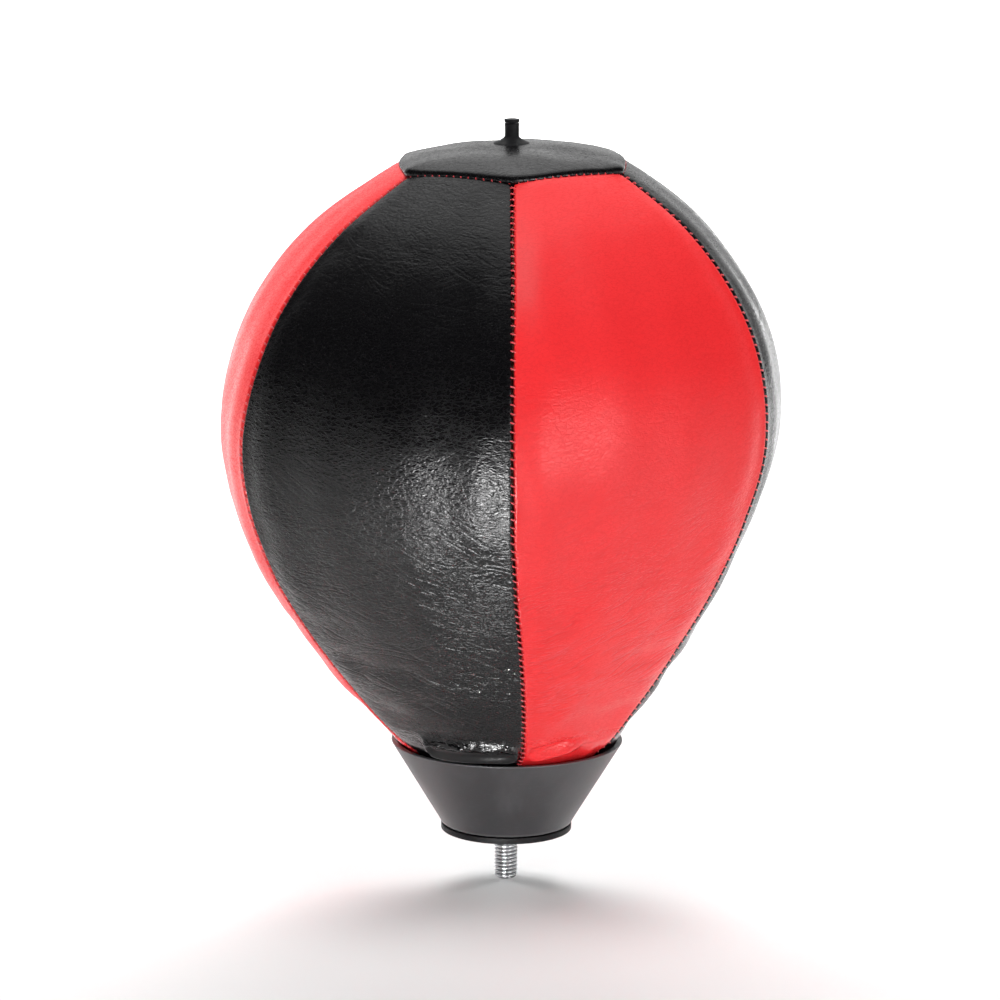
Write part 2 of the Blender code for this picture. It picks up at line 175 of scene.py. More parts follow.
# Name, place, target, size, power, what it lights, and spread in degrees
LAMPS = (
    ("low_softbox", (-0.078, -0.280, -0.004), (-0.010, -0.091, 0.126), 0.12, 1.7, "glossy", 180),
    ("front_glint", (0.01, -0.34, -0.03), (-0.01, -0.04, 0.046), 0.05, 0.10, "glossy", 10),
    ("right_softbox", (0.62, -0.72, 0.10), (0.02, -0.09, 0.146), 0.34, 3.0, "glossy", 180),
    ("ceiling", (0, 0.55, 1.75), BALL, 2.0, 9.5, "glossy", 180),
    ("left_fill", (-1.0, -1.7, 0.20), BALL, 0.4, 13, "diffuse", 180),
    ("right_fill", (1.1, -1.7, 0.20), BALL, 0.4, 13, "diffuse", 180),
    ("top_fill", (0, -0.20, 0.85), BALL, 0.4, 0.55, "diffuse", 70),
    ("left_low", (-0.85, 0.70, 0.30), FOOT, 0.5, 9, "diffuse", 180),
    ("right_low", (0.85, 0.70, 0.30), FOOT, 0.5, 9, "diffuse", 180),
    ("floor_bank", (0, 3.4, 2.6), (0, 2.6, 0), 2.6, 120, "diffuse", 85),
    ("left_bank", (-3.6, 0, 2.6), (-3.6, 0, 0), 2.6, 60, "diffuse", 60),
    ("right_bank", (3.6, 0, 2.6), (3.6, 0, 0), 2.6, 60, "diffuse", 60),
    ("front_bank", (0, -4.0, 2.6), (0, -4.0, 0), 2.6, 60, "diffuse", 60),
)

# ---- numbers


def catmull_rom(points, per_span):
    padded = np.vstack([2 * points[0] - points[1], points, 2 * points[-1] - points[-2]])
    t = (np.arange(per_span) / per_span)[:, None]
    spans = []
    for a, b, c, d in zip(padded, padded[1:], padded[2:], padded[3:]):
        spans.append(0.5 * (2 * b + (c - a) * t + (2 * a - 5 * b + 4 * c - d) * t**2
                            + (3 * b - a - 3 * c + d) * t**3))
    return np.vstack([*spans, points[-1:]])


def smoothstep(value, low, high):
    t = np.clip((value - low) / (high - low), 0, 1)
    return t * t * (3 - 2 * t)


def bell(value, centre, width):
    """1 at the centre, falling off smoothly on both sides."""
    return np.exp(-(((value - centre) / width) ** 2))


def turned_about_z(azimuth, outward, upward):
    """Points or directions with these outward and upward parts at each azimuth."""
    x, y = outward * np.cos(azimuth), outward * np.sin(azimuth)
    return np.stack([x, y, upward + 0 * x], -1)


def noise_at(points, scale, seed):
    """Smooth noise from -1 to 1 at each point. The scale is one over the size of its lumps."""
    shift = Vector((seed * 7.31, seed * -3.17, seed * 5.53))
    flat = points.reshape(-1, 3)
    scale = np.broadcast_to(scale, 3)
    found = [noise.noise(Vector(p * scale) + shift) for p in flat]
    return np.array(found).reshape(points.shape[:-1])


class Outline:
    """The cover's outline along a seam, by distance from the neck hole."""

    dense = catmull_rom(SEAM_OUTLINE, 24)
    z, radius, share = dense.T
    along = np.concatenate([[0], np.cumsum(np.hypot(np.diff(radius), np.diff(z)))])
    length = along[-1]
    normal_out = np.gradient(z, along)
    normal_up = -np.gradient(radius, along)

    @classmethod
    def at(cls, along):
        along = np.clip(along, 0, cls.length)
        return [np.interp(along, cls.along, v)
                for v in (cls.z, cls.radius, cls.share, cls.normal_out, cls.normal_up)]

    @classmethod
    def along_at_z(cls, z):
        return cls.along[cls.z > z][0]


def gore_radius(seam_radius, middle_share, angle):
    """Radius at an angle from a gore's middle: an arc through both seams and the middle."""
    middle = seam_radius * middle_share
    rise = middle - seam_radius * math.cos(GORE_ANGLE / 2)
    half_chord = seam_radius * math.sin(GORE_ANGLE / 2)
    arc = (half_chord**2 + rise**2) / (2 * rise)
    centre = middle - arc
    return centre * np.cos(angle) + np.sqrt(arc**2 - (centre * np.sin(angle)) ** 2)


def seam_azimuth(index):
    return FIRST_GORE_AZIMUTH - GORE_ANGLE / 2 + index * GORE_ANGLE


def place_across(azimuth):
    """Where an azimuth lies in its gore, from -1 at one seam to 1 at the next."""
    return 2 * (((azimuth - seam_azimuth(0)) / GORE_ANGLE) % 1) - 1


def settled_azimuth(azimuth, z):
    """Turns an azimuth by the twist at its height. The front seam turns further."""
    twist = np.interp(z / MM, SETTLE[:, 0], SETTLE[:, 2])
    front = np.interp(z / MM, SETTLE[:, 0], SETTLE[:, 3])
    away = (azimuth - seam_azimuth(0) + math.pi) % TAU - math.pi
    share = np.where(np.abs(away) < GORE_ANGLE, np.cos(away * 1.5) ** 2, 0)
    return azimuth + np.radians(twist + front * share)


def lean(z):
    return np.interp(z / MM, SETTLE[:, 0], SETTLE[:, 1]) * MM


def cap_tilt(x, z):
    """How far the tilted cap and the gores' upper ends are lifted at x."""
    return CAP_TILT * x * smoothstep(z, *CAP_BLEND_Z)


def cap_edge_rise(across):
    """How far the cap's seam stands above its corners. The argument runs from -1 to 1 along a side."""
    return CAP_SEAM_RISE * (1 - across**2)


# ---- leather shapes


def rolled_depth(distance):
    """How far the leather turns in at this distance from a seam."""
    reach = np.clip(ROLL_RADIUS - distance, 0, None)
    roll = ROLL_RADIUS - np.sqrt(ROLL_RADIUS**2 - reach**2)
    return roll + TUCK_DEPTH * np.exp(-distance / TUCK_REACH)


def stitch_wave(along):
    """1 at each stitch and 0 halfway between."""
    return 0.5 + 0.5 * np.cos(TAU * along / STITCH_PITCH)


def puckered(distance, along):
    """The extra depth and half gap that the stitches pull at this distance from a seam."""
    pull = stitch_wave(along)
    depth = 0.16 * MM * pull * np.exp(-distance / (1.1 * MM))
    gap = SEAM_GAP + 0.14 * MM * pull
    return depth, gap * np.exp(-distance / (0.9 * MM))


def seam_normal_at_cap():
    """Outward and upward parts of the direction shared by both sides of the cap's seam."""
    tilt = math.radians(50)
    return math.cos(tilt), math.sin(tilt)


def gore_rows():
    """Distance along the seam of each row of the grid, and the depth of the turned-in rows."""
    start = Outline.along_at_z(SHOWN_Z)
    top = Outline.length
    hidden = np.arange(0, start, HIDDEN_ROW)
    fold = math.ceil((Outline.along_at_z(45 * MM) - start) / (STITCH_PITCH / 8))
    count = int((top - EDGE_STEPS[6] - start) / (STITCH_PITCH / 4) - fold / 2)
    fine = start + np.arange(fold) * STITCH_PITCH / 8
    middle = np.concatenate([fine, fine[-1] + np.arange(1, count) * STITCH_PITCH / 4])
    edge = top - EDGE_STEPS[6::-1]
    along = np.concatenate([hidden, middle, edge, [top] * len(TAB_DEPTHS)])
    tabs = np.zeros(len(along))
    tabs[-len(TAB_DEPTHS):] = sorted(TAB_DEPTHS)
    return along, tabs


def gore_columns(half_width):
    """For each row: the side, distance from that side's seam and tab depth of each column."""
    shrink = np.minimum(1, half_width / FULL_STEPS_WIDTH)[:, None]
    edge = EDGE_STEPS * shrink
    share = np.arange(1, MIDDLE_COLUMNS) / MIDDLE_COLUMNS
    middle = edge[:, -1:] + (half_width[:, None] - edge[:, -1:]) * share
    tab = np.zeros((len(half_width), len(TAB_DEPTHS)))
    left = np.hstack([tab, edge, middle])
    distance = np.hstack([left, half_width[:, None], left[:, ::-1]])
    side = np.sign(np.arange(distance.shape[1]) - left.shape[1])
    tab_depth = np.zeros(distance.shape[1])
    tab_depth[: len(TAB_DEPTHS)] = TAB_DEPTHS
    tab_depth[-len(TAB_DEPTHS):] = TAB_DEPTHS[::-1]
    return side, distance, tab_depth


def rim_roll(along, above):
    """The fat looped roll left of the front seam, by distance from it and height above the cup."""
    start, end, ring_radius = 4.6 * MM, 29 * MM, 2.6 * MM
    beyond = np.clip(start - along, 0, None) + np.clip(along - end, 0, None)
    axis = 5.7 * MM + 0.3 * MM * np.sin(along / (5 * MM))
    ring = np.hypot(beyond, above - axis)
    upper = smoothstep(above, 4.5 * MM, 6.5 * MM)
    crinkle = 1 + 0.25 * np.sin(along / (0.8 * MM)) * np.sin(along / (1.9 * MM) + 1.0) * upper
    loop = 1.95 * MM * crinkle * bell(ring, ring_radius, 1.15 * MM)
    swell = 0.7 * MM * bell(ring, 0, 3.6 * MM)
    ends = (1 - smoothstep(along, 30 * MM, 38 * MM)) * smoothstep(along, 0.3 * MM, 2.5 * MM)
    return (loop + swell) * ends


def rim_tongue(away, above):
    """The low tongue of leather right of the front seam, with the hollow over it. away is in degrees."""
    edge = (0.9 + 0.13 * np.clip(away, 0, 60)) * MM
    tongue = 1.5 * MM * bell(above, edge + 1.4 * MM, 1.3 * MM)
    hollow = -0.9 * MM * bell(above, edge + 4.0 * MM, 1.0 * MM)
    return (tongue + hollow) * smoothstep(away, 1.5, 6) * (1 - smoothstep(away, 18, 34))


def rim_gathers(azimuth, away, above):
    """Small gathers round the rest of the rim."""
    waves = 0.35 * MM * np.sin(azimuth * 23) * np.sin(azimuth * 7 + 1.0)
    where = smoothstep(away, 25, 40) + 1 - smoothstep(away, -70, -55)
    return waves * bell(above, 2.0 * MM, 3.2 * MM) * where


def rim_folds(azimuth, z):
    """How far the leather stands out just above the cup."""
    roll_z, cover_radius = 36 * MM, 39 * MM
    seam = float(settled_azimuth(np.array(seam_azimuth(0)), np.array(roll_z)))
    away = np.degrees((azimuth - seam + math.pi) % TAU - math.pi)
    above = z - CUP_HIGH.z
    along = -np.radians(away) * cover_radius
    return rim_roll(along, above) + rim_tongue(away, above) + rim_gathers(azimuth, away, above)


def relief(points, z, seed):
    """Gentle lumps all over, and tension creases that grow towards the cup."""
    lumps = 0.45 * MM * noise_at(points, 1 / (38 * MM), seed)
    dents = 0.12 * MM * noise_at(points, 1 / (13 * MM), seed + 1)
    low = 1 - smoothstep(z, 45 * MM, 130 * MM)
    squeeze = (1 / (22 * MM), 1 / (22 * MM), 1 / (5 * MM))
    creases = 0.16 * MM * noise_at(points, squeeze, seed + 2) * (0.25 + low)
    return lumps + dents + creases


def gore_points(index):
    """The grid of points of one gore, and their places on the flat hide."""
    along, top_tab = gore_rows()
    z, radius, share, normal_out, normal_up = (v[:, None] for v in Outline.at(along))
    half_width = (radius * GORE_ANGLE / 2)[:, 0]
    side, distance, side_tab = gore_columns(half_width)
    across = side * (1 - distance / half_width[:, None])
    angle = across * GORE_ANGLE / 2
    reach = gore_radius(radius, share, angle)

    from_top = (Outline.length - along)[:, None]
    cap_out, cap_up = seam_normal_at_cap()
    turn = np.exp(-from_top / (3 * MM))
    normal_out = normal_out * (1 - turn) + cap_out * turn
    normal_up = normal_up * (1 - turn) + cap_up * turn

    middle_azimuth = FIRST_GORE_AZIMUTH + index * GORE_ANGLE
    azimuth = settled_azimuth(middle_azimuth + angle, z)
    seam_z = z
    z = seam_z + cap_edge_rise(across) * smoothstep(seam_z, *CAP_BLEND_Z)
    smooth = turned_about_z(azimuth, reach, z)

    side_pucker, side_gap = puckered(distance, along[:, None])
    top_pucker, top_gap = puckered(from_top, across * half_width[-1])
    tab_room = 0.15 + 0.85 * smoothstep(z, 34 * MM, 60 * MM)
    depth = rolled_depth(distance) * smoothstep(distance * 0 + z, 16 * MM, 30 * MM)
    depth = depth + side_pucker + side_tab * tab_room
    depth = depth + rolled_depth(from_top) + top_pucker + top_tab[:, None]
    held = np.exp(-np.minimum(distance, from_top) / (5 * MM))
    free = (1 - held) * smoothstep(z, 30 * MM, 42 * MM)
    buckle = Wrinkles.at(along[:, None], middle_azimuth + angle)
    buckle = buckle * (1 - bell(distance, 0, 3 * MM)) * smoothstep(z, 31 * MM, 39 * MM)
    depth = depth - relief(smooth, z, GORE_SEED) * free - buckle
    depth = depth - rim_folds(azimuth, z) * (1 - np.exp(-distance / MM))
    normal = turned_about_z(azimuth, normal_out, normal_up)
    along_seam = turned_about_z(azimuth, -normal_up, normal_out)
    inwards = np.stack([np.sin(azimuth), -np.cos(azimuth), 0 * azimuth], -1) * side[:, None]
    points = smooth - normal * depth[..., None]
    points = points + inwards * side_gap[..., None] - along_seam * top_gap[..., None]
    points[..., 0] += lean(z + 0 * reach)
    points[..., 2] += cap_tilt(points[..., 0], seam_z)
    hide_x = side * (half_width[:, None] - distance) + index * HIDE_STEP
    return points, np.stack([hide_x, along[:, None] + 0 * distance], -1)


def cap_points():
    """The grid of points of the cap panel, rings from the valve's hole to the turned-in edge."""
    per_side = 60
    azimuth = seam_azimuth(0) + TAU * np.arange(GORES * per_side) / (GORES * per_side)
    across = place_across(azimuth)
    corner_z, corner_radius, share = Outline.at(Outline.length)[:3]
    edge_reach = gore_radius(corner_radius, share, across * GORE_ANGLE / 2)
    edge_z = corner_z + cap_edge_rise(across)
    distances = np.concatenate([[0, 0], EDGE_STEPS, EDGE_STEPS[-1] + np.arange(1, 13) * 2 * MM])
    tabs = np.zeros(len(distances))
    tabs[: len(TAB_DEPTHS)] = TAB_DEPTHS
    distance = distances[:, None]
    reach = edge_reach - distance
    inner = CAP_HOLE_RADIUS + 0 * edge_reach
    reach = np.vstack([reach, 0.5 * (reach[-1] + inner), inner])
    distance = np.vstack([distance + 0 * edge_reach, edge_reach - reach[-2:]])
    tabs = np.concatenate([tabs, [0, 0]])[:, None]
    rho = reach / edge_reach
    z = edge_z + (CAP_APEX_Z - edge_z) * (1 - rho**CAP_DOME_POWER)
    slope = CAP_DOME_POWER * (CAP_APEX_Z - edge_z) / edge_reach * rho ** (CAP_DOME_POWER - 1)
    size = np.hypot(1, slope)
    out, up = slope / size, 1 / size
    cap_out, cap_up = seam_normal_at_cap()
    turn = np.exp(-distance / (3 * MM))
    out, up = out * (1 - turn) + cap_out * turn, up * (1 - turn) + cap_up * turn

    pucker, gap = puckered(distance, across * corner_radius / 2)
    depth = rolled_depth(distance) + pucker + tabs
    azimuth = settled_azimuth(azimuth, corner_z)[None] + 0 * reach
    smooth = turned_about_z(azimuth, reach, z)
    free = (1 - np.exp(-distance / (5 * MM))) * smoothstep(reach, 8 * MM, 16 * MM)
    from_corner = (1 - np.abs(across)) * corner_radius / 2
    corner = 0.6 * MM * bell(from_corner, 0, 4 * MM) * bell(distance, 0, 5 * MM)
    lumps = relief(smooth, z, CAP_SEED) + 0.8 * MM * noise_at(smooth, 1 / (15 * MM), CAP_MIDDLE_SEED)
    depth = depth - lumps * free - corner
    points = smooth - turned_about_z(azimuth, out, up) * depth[..., None]
    points = points + turned_about_z(azimuth, -up, out) * gap[..., None]
    points[..., 0] += lean(z) * smoothstep(reach, 6 * MM, 30 * MM)
    points[..., 2] += cap_tilt(points[..., 0], CAP_BLEND_Z[1])
    return points, turned_about_z(azimuth, reach, z)[..., :2] + (CAP_HIDE_X, 0)


# ---- cloth


class Wrinkles:
    """What a cloth run of the whole cover adds to its smooth outline, by place along and round it."""

    columns = GORES * CLOTH_COLUMNS
    along = np.linspace(Outline.along_at_z(SHOWN_Z), Outline.length, CLOTH_ROWS)
    azimuth = FIRST_GORE_AZIMUTH - GORE_ANGLE / 2 + TAU * np.arange(columns) / columns
    grid = np.zeros((CLOTH_ROWS, columns))

    @classmethod
    def cage(cls):
        """The cover as one coarse net: the gores' rows, then the cap's rings up to the valve."""
        z, radius, share = (v[:, None] for v in Outline.at(cls.along)[:3])
        across = place_across(cls.azimuth)
        reach = gore_radius(radius, share, across * GORE_ANGLE / 2)
        step = np.linspace(0, 1, CLOTH_CAP_ROWS + 1)[1:, None]
        rings = reach[-1:] * (1 - step) + 2 * CAP_HOLE_RADIUS * step
        ring_z = CAP_APEX_Z - (CAP_APEX_Z - z[-1]) * (rings / reach[-1:]) ** CAP_DOME_POWER
        reach = np.vstack([reach, rings])
        height = np.vstack([z + 0 * across, ring_z])
        points = turned_about_z(cls.azimuth, reach, height)
        start = relief(points, height, GORE_SEED) * smoothstep(height, 30 * MM, 42 * MM)
        return points * (1 + (start / reach)[..., None] * (1, 1, 0))

    @classmethod
    def run(cls):
        """Blows the net up while its seams shrink, and keeps how it buckles between them."""
        points = cls.cage()
        rows = len(points)
        faces = grid_faces(rows, cls.columns, True)
        net = new_object("cloth_net", points, faces, None)
        number = np.arange(rows * cls.columns).reshape(rows, cls.columns)
        held = net.vertex_groups.new(name="held")
        held.add(number[[0, 1, 2, -1]].ravel().tolist(), 1.0, "REPLACE")
        tight = net.vertex_groups.new(name="tight")
        tight.add(number[3:CLOTH_ROWS, ::CLOTH_COLUMNS].ravel().tolist(), 1.0, "REPLACE")
        tight.add(number[CLOTH_ROWS - 1].tolist(), 1.0, "REPLACE")
        cloth = net.modifiers.new("Cloth", "CLOTH")
        for key, value in CLOTH_SETTINGS.items():
            setattr(cloth.settings, key, value)
        cloth.settings.effector_weights.gravity = 0
        cloth.collision_settings.use_collision = False
        for step in range(1, CLOTH_STEPS + 1):
            bpy.context.scene.frame_set(step)
        blown = net.evaluated_get(bpy.context.evaluated_depsgraph_get())
        moved = np.empty(points.size)
        blown.data.vertices.foreach_get("co", moved)
        moved = moved.reshape(points.shape)
        bpy.data.objects.remove(net)
        bpy.context.scene.frame_set(1)
        change = np.hypot(moved[..., 0], moved[..., 1]) - np.hypot(points[..., 0], points[..., 1])
        cls.grid = cls.buckles(change[:CLOTH_ROWS])

    @classmethod
    def buckles(cls, change):
        """Leaves out the even part of each row, evens out single knots and caps the rest."""
        turn = TAU * np.arange(cls.columns) / CLOTH_COLUMNS
        even = np.stack([np.ones(cls.columns), np.cos(turn), np.cos(2 * turn), np.cos(3 * turn)], -1)
        left = change - change @ np.linalg.pinv(even).T @ even.T
        for _ in range(2):
            left = 0.5 * left + 0.25 * (np.roll(left, 1, 1) + np.roll(left, -1, 1))
            padded = np.pad(left, ((1, 1), (0, 0)), mode="edge")
            left = 0.5 * left + 0.25 * (padded[2:] + padded[:-2])
        return CLOTH_CAP * np.tanh(left / CLOTH_CAP)

    @classmethod
    def at(cls, along, azimuth):
        row = np.clip(np.interp(along, cls.along, np.arange(CLOTH_ROWS)), 0, CLOTH_ROWS - 1.001)
        column = ((azimuth - cls.azimuth[0]) / TAU * cls.columns) % cls.columns
        row, column = np.broadcast_arrays(row, column)
        r, c = row.astype(int), column.astype(int) % cls.columns
        u, v, right = row - r, column - column.astype(int), (c + 1) % cls.columns
        low = cls.grid[r, c] * (1 - v) + cls.grid[r, right] * v
        high = cls.grid[r + 1, c] * (1 - v) + cls.grid[r + 1, right] * v
        return low * (1 - u) + high * u


# ---- meshes


def new_object(name, vertices, faces, material):
    mesh = bpy.data.meshes.new(name)
    mesh.from_pydata(np.reshape(vertices, (-1, 3)).tolist(), [], faces)
    mesh.validate()
    mesh.shade_smooth()
    made = bpy.data.objects.new(name, mesh)
    if material:
        mesh.materials.append(material)
    bpy.context.scene.collection.objects.link(made)
    return made


def grid_faces(rows, columns, closed=False):
    faces = []
    for row in range(rows - 1):
        for column in range(columns if closed else columns - 1):
            right = (column + 1) % columns
            faces.append((row * columns + column, row * columns + right,
                          (row + 1) * columns + right, (row + 1) * columns + column))
    return faces


def leather_sheet(name, points, hide, closed, material):
    rows, columns = points.shape[:2]
    faces = grid_faces(rows, columns, closed)
    if closed:
        faces = [face[::-1] for face in faces]
    sheet = new_object(name, points, faces, material)
    layer = sheet.data.uv_layers.new(name="hide")
    order = np.empty(len(sheet.data.loops), np.int32)
    sheet.data.loops.foreach_get("vertex_index", order)
    layer.data.foreach_set("uv", hide.reshape(-1, 2)[order].astype(np.float32).ravel())
    shell = sheet.modifiers.new("Thickness", "SOLIDIFY")
    shell.thickness = LEATHER_THICKNESS
    shell.offset = -1
    return sheet


def lathe(name, profile, segments, material, wobble=None):
    """A closed turned solid about +Z, from a loop of (radius, height) that runs down its outer side."""
    turns = TAU * np.arange(segments) / segments
    rings = []
    for radius, height in profile:
        lift = wobble(turns, radius, height) if wobble else 0 * turns
        rings.append(turned_about_z(turns, radius, height + lift))
    count = len(rings)
    faces = []
    for ring in range(count):
        below = (ring + 1) % count
        for turn in range(segments):
            right = (turn + 1) % segments
            faces.append((ring * segments + turn, below * segments + turn,
                          below * segments + right, ring * segments + right))
    made = new_object(name, rings, faces, material)
    made.data.set_sharp_from_angle(angle=math.radians(50))
    return made


def rounded(profile, radius, steps=4):
    """A closed profile with each corner of less than 150 degrees rounded off."""
    made = []
    count = len(profile)
    points = [Vector(p) for p in profile]
    for i, corner in enumerate(points):
        before = points[i - 1] - corner
        after = points[(i + 1) % count] - corner
        room = min(radius, 0.45 * before.length, 0.45 * after.length)
        if before.angle(after) > math.radians(150):
            made.append(corner)
            continue
        a = corner + before.normalized() * room
        b = corner + after.normalized() * room
        for step in range(steps + 1):
            t = step / steps
            made.append((1 - t) ** 2 * a + 2 * t * (1 - t) * corner + t**2 * b)
    return [tuple(p) for p in made]


# ---- materials


class Nodes:
    """Short calls for building one material's node tree."""

    def __init__(self, name, colour, roughness, metallic=0.0):
        self.material = bpy.data.materials.new(name)
        self.material.use_nodes = True
        self.tree = self.material.node_tree
        self.shader = self.tree.nodes["Principled BSDF"]
        self.shader.inputs["Base Color"].default_value = (*colour, 1)
        self.shader.inputs["Roughness"].default_value = roughness
        self.shader.inputs["Metallic"].default_value = metallic

    def add(self, kind, inputs=None, **settings):
        node = self.tree.nodes.new(kind)
        for key, value in settings.items():
            setattr(node, key, value)
        for key, value in (inputs or {}).items():
            if isinstance(value, bpy.types.NodeSocket):
                self.tree.links.new(value, node.inputs[key])
            else:
                node.inputs[key].default_value = value
        return node

    def link(self, socket, name):
        self.tree.links.new(socket, self.shader.inputs[name])

    def math(self, operation, a, b=0.5, c=0.5):
        return self.add("ShaderNodeMath", {0: a, 1: b, 2: c}, operation=operation).outputs[0]

    def plus(self, a, b):
        return self.math("ADD", a, b)

    def times(self, a, b):
        return self.math("MULTIPLY", a, b)

    def vector(self, operation, inputs):
        return self.add("ShaderNodeVectorMath", inputs, operation=operation).outputs[0]

    def place(self, scale=(1, 1, 1), layer=None, turn=0.0):
        """Coordinates in units of scale, on the hide's flat layer or in the part's own frame."""
        if layer:
            source = self.add("ShaderNodeUVMap", uv_map=layer).outputs["UV"]
        else:
            source = self.add("ShaderNodeTexCoord").outputs["Object"]
        mapping = self.add("ShaderNodeMapping", {
            "Vector": source, "Scale": [1 / s for s in scale], "Rotation": (0, 0, turn),
        }, vector_type="TEXTURE")
        return mapping.outputs[0]

    def noise(self, vector, scale=1.0, detail=3.0, roughness=0.5, distortion=0.0):
        made = self.add("ShaderNodeTexNoise", {
            "Vector": vector, "Scale": scale, "Detail": detail, "Roughness": roughness,
            "Distortion": distortion,
        })
        return made.outputs["Fac"]

    def bent(self, vector, scale, amount):
        """The same coordinates, pushed about by noise."""
        wander = self.add("ShaderNodeTexNoise", {"Vector": vector, "Scale": scale, "Detail": 3.0})
        centred = self.vector("SUBTRACT", {0: wander.outputs["Color"], 1: (0.5, 0.5, 0.5)})
        return self.vector("ADD", {0: vector, 1: self.vector("SCALE", {0: centred, 3: amount})})

    def cells(self, vector, scale=1.0, feature="F1"):
        made = self.add("ShaderNodeTexVoronoi", {"Vector": vector, "Scale": scale}, feature=feature)
        return made.outputs["Distance"]

    def spread(self, value, low, high, to_low=0.0, to_high=1.0, smooth=True):
        kind = "SMOOTHSTEP" if smooth else "LINEAR"
        return self.add("ShaderNodeMapRange", {
            "Value": value, "From Min": low, "From Max": high, "To Min": to_low, "To Max": to_high,
        }, interpolation_type=kind).outputs["Result"]

    def height_z(self):
        place = self.add("ShaderNodeTexCoord").outputs["Object"]
        return self.add("ShaderNodeSeparateXYZ", {0: place}).outputs["Z"]

    def from_axis(self):
        """Distance from the stud's axis."""
        place = self.add("ShaderNodeTexCoord").outputs["Object"]
        level = self.vector("MULTIPLY", {0: place, 1: (1, 1, 0)})
        return self.add("ShaderNodeVectorMath", {0: level}, operation="LENGTH").outputs["Value"]

    def bump(self, height_mm, strength=1.0):
        made = self.add("ShaderNodeBump", {"Height": height_mm, "Distance": MM, "Strength": strength})
        self.link(made.outputs[0], "Normal")

    def colours(self, factor, first, second):
        mix = self.add("ShaderNodeMix", data_type="RGBA")
        self.tree.links.new(factor, mix.inputs["Factor"])
        mix.inputs[6].default_value = (*first, 1)
        mix.inputs[7].default_value = (*second, 1)
        self.link(mix.outputs[2], "Base Color")


def crease_lines(n, turns):
    """Four nets of tension creases at these turns, each in patches: 1 in a crease and 0 beside it."""
    lines = []
    for size, turn, reach in zip(CREASE_SIZES, turns, CREASE_REACHES):
        bent = n.bent(n.place((*size, 1), "hide", turn), 0.9, 2.0)
        line = n.spread(n.cells(bent, 1.0, "DISTANCE_TO_EDGE"), 0.0, reach, 1.0, 0.0)
        patches = n.noise(n.place((35, 50, 1), "hide", turn * 3 + 0.4), 1.0, 2.0)
        lines.append(n.times(line, n.spread(patches, 0.44, 0.58)))
    return n.plus(n.math("MAXIMUM", lines[0], lines[1]), n.math("MAXIMUM", lines[2], lines[3]))


def leather(name, colour, painted_crease_shade, depth, rough_low, turns):
    """Coated leathercloth: cobbled grain, creases that gather near the cup, a shiny fold at the rim, and
    painted shade in the grain's valleys and in the creases.
    """
    n = Nodes(name, colour, 0.25)
    z = n.height_z()
    flat = n.place(layer="hide")

    bent = n.bent(n.place((400, 740, 1), "hide", 0.06), 1.2, 1.7)
    cobbles = n.cells(bent, 1.0, "DISTANCE_TO_EDGE")
    grain = n.noise(n.bent(n.place((800, 1400, 1), "hide"), 0.7, 0.8), 1.0, 2.0, 0.6)
    band = n.times(n.spread(z, 0.050, 0.095, 0.05, 1.0), n.spread(z, 0.12, 0.17, 1.0, 0.35))
    patches = n.spread(n.noise(flat, 30, 2.0), 0.35, 0.62, 0.35, 1.0)
    cobble_depth = n.times(n.times(band, 0.12), patches)

    low = n.spread(z, 0.075, 0.150, 1.0, 0.25)
    above_rim = n.spread(z, 0.040, 0.062, 0.15, 1.0)
    creases = n.times(crease_lines(n, turns), n.times(low, above_rim))

    at_rim = n.times(n.spread(z, 0.0345, 0.0375), n.spread(z, 0.0405, 0.0435, 1.0, 0.0))
    crumple = n.noise(n.place((420, 800, 1), "hide"), 1.0, 2.0, 0.5, 0.8)
    height = n.plus(n.times(n.spread(cobbles, -0.03, 0.30), cobble_depth),
                    n.times(crumple, n.times(at_rim, 0.5)))
    height = n.plus(height, n.times(grain, n.times(band, 0.07)))
    height = n.math("SUBTRACT", height, n.times(creases, 0.15))
    n.bump(n.times(height, depth))

    smudge = n.spread(n.noise(flat, 22, 4.0, 0.6), 0.3, 0.7, rough_low, rough_low + 0.07)
    pits = n.spread(cobbles, 0.0, 0.10, 0.7, 0.0)
    rough = n.plus(smudge, n.times(pits, 0.3))
    n.link(n.times(rough, n.spread(z, 0.0375, 0.0425, 0.5, 1.0)), "Roughness")
    # Painted shade: the base colour darkens to the second colour in the cobbles' valleys and in the
    # creases.
    n.colours(n.math("MAXIMUM", pits, n.times(creases, 0.6)), colour, painted_crease_shade)
    n.shader.inputs["Specular IOR Level"].default_value = 0.38
    return n.material


def thread_material():
    """Twisted polyester thread, banded lighter and darker along its twist."""
    n = Nodes("stitch_thread", (0.5, 0.02, 0.025), 0.6)
    ply = n.add("ShaderNodeTexWave", {"Vector": n.place(), "Scale": 900.0, "Distortion": 3.0},
                bands_direction="DIAGONAL")
    n.bump(n.times(ply.outputs["Fac"], 0.05))
    n.colours(ply.outputs["Fac"], (0.55, 0.02, 0.03), (0.85, 0.07, 0.08))
    n.shader.inputs["Sheen Weight"].default_value = 0.3
    return n.material


def rubber(name, colour, worn):
    """Moulded rubber with a faint bloom and fine pitting."""
    n = Nodes(name, colour, 0.5)
    cloud = n.noise(n.place(), 260, 5.0, 0.65)
    pits = n.noise(n.place(), 2400, 3.0, 0.6)
    n.colours(n.spread(cloud, 0.4, 0.75), colour, worn)
    n.link(n.spread(cloud, 0.3, 0.7, 0.40, 0.58), "Roughness")
    n.shader.inputs["Specular IOR Level"].default_value = 0.2
    n.bump(n.plus(n.times(pits, 0.03), n.times(cloud, 0.05)))
    return n.material


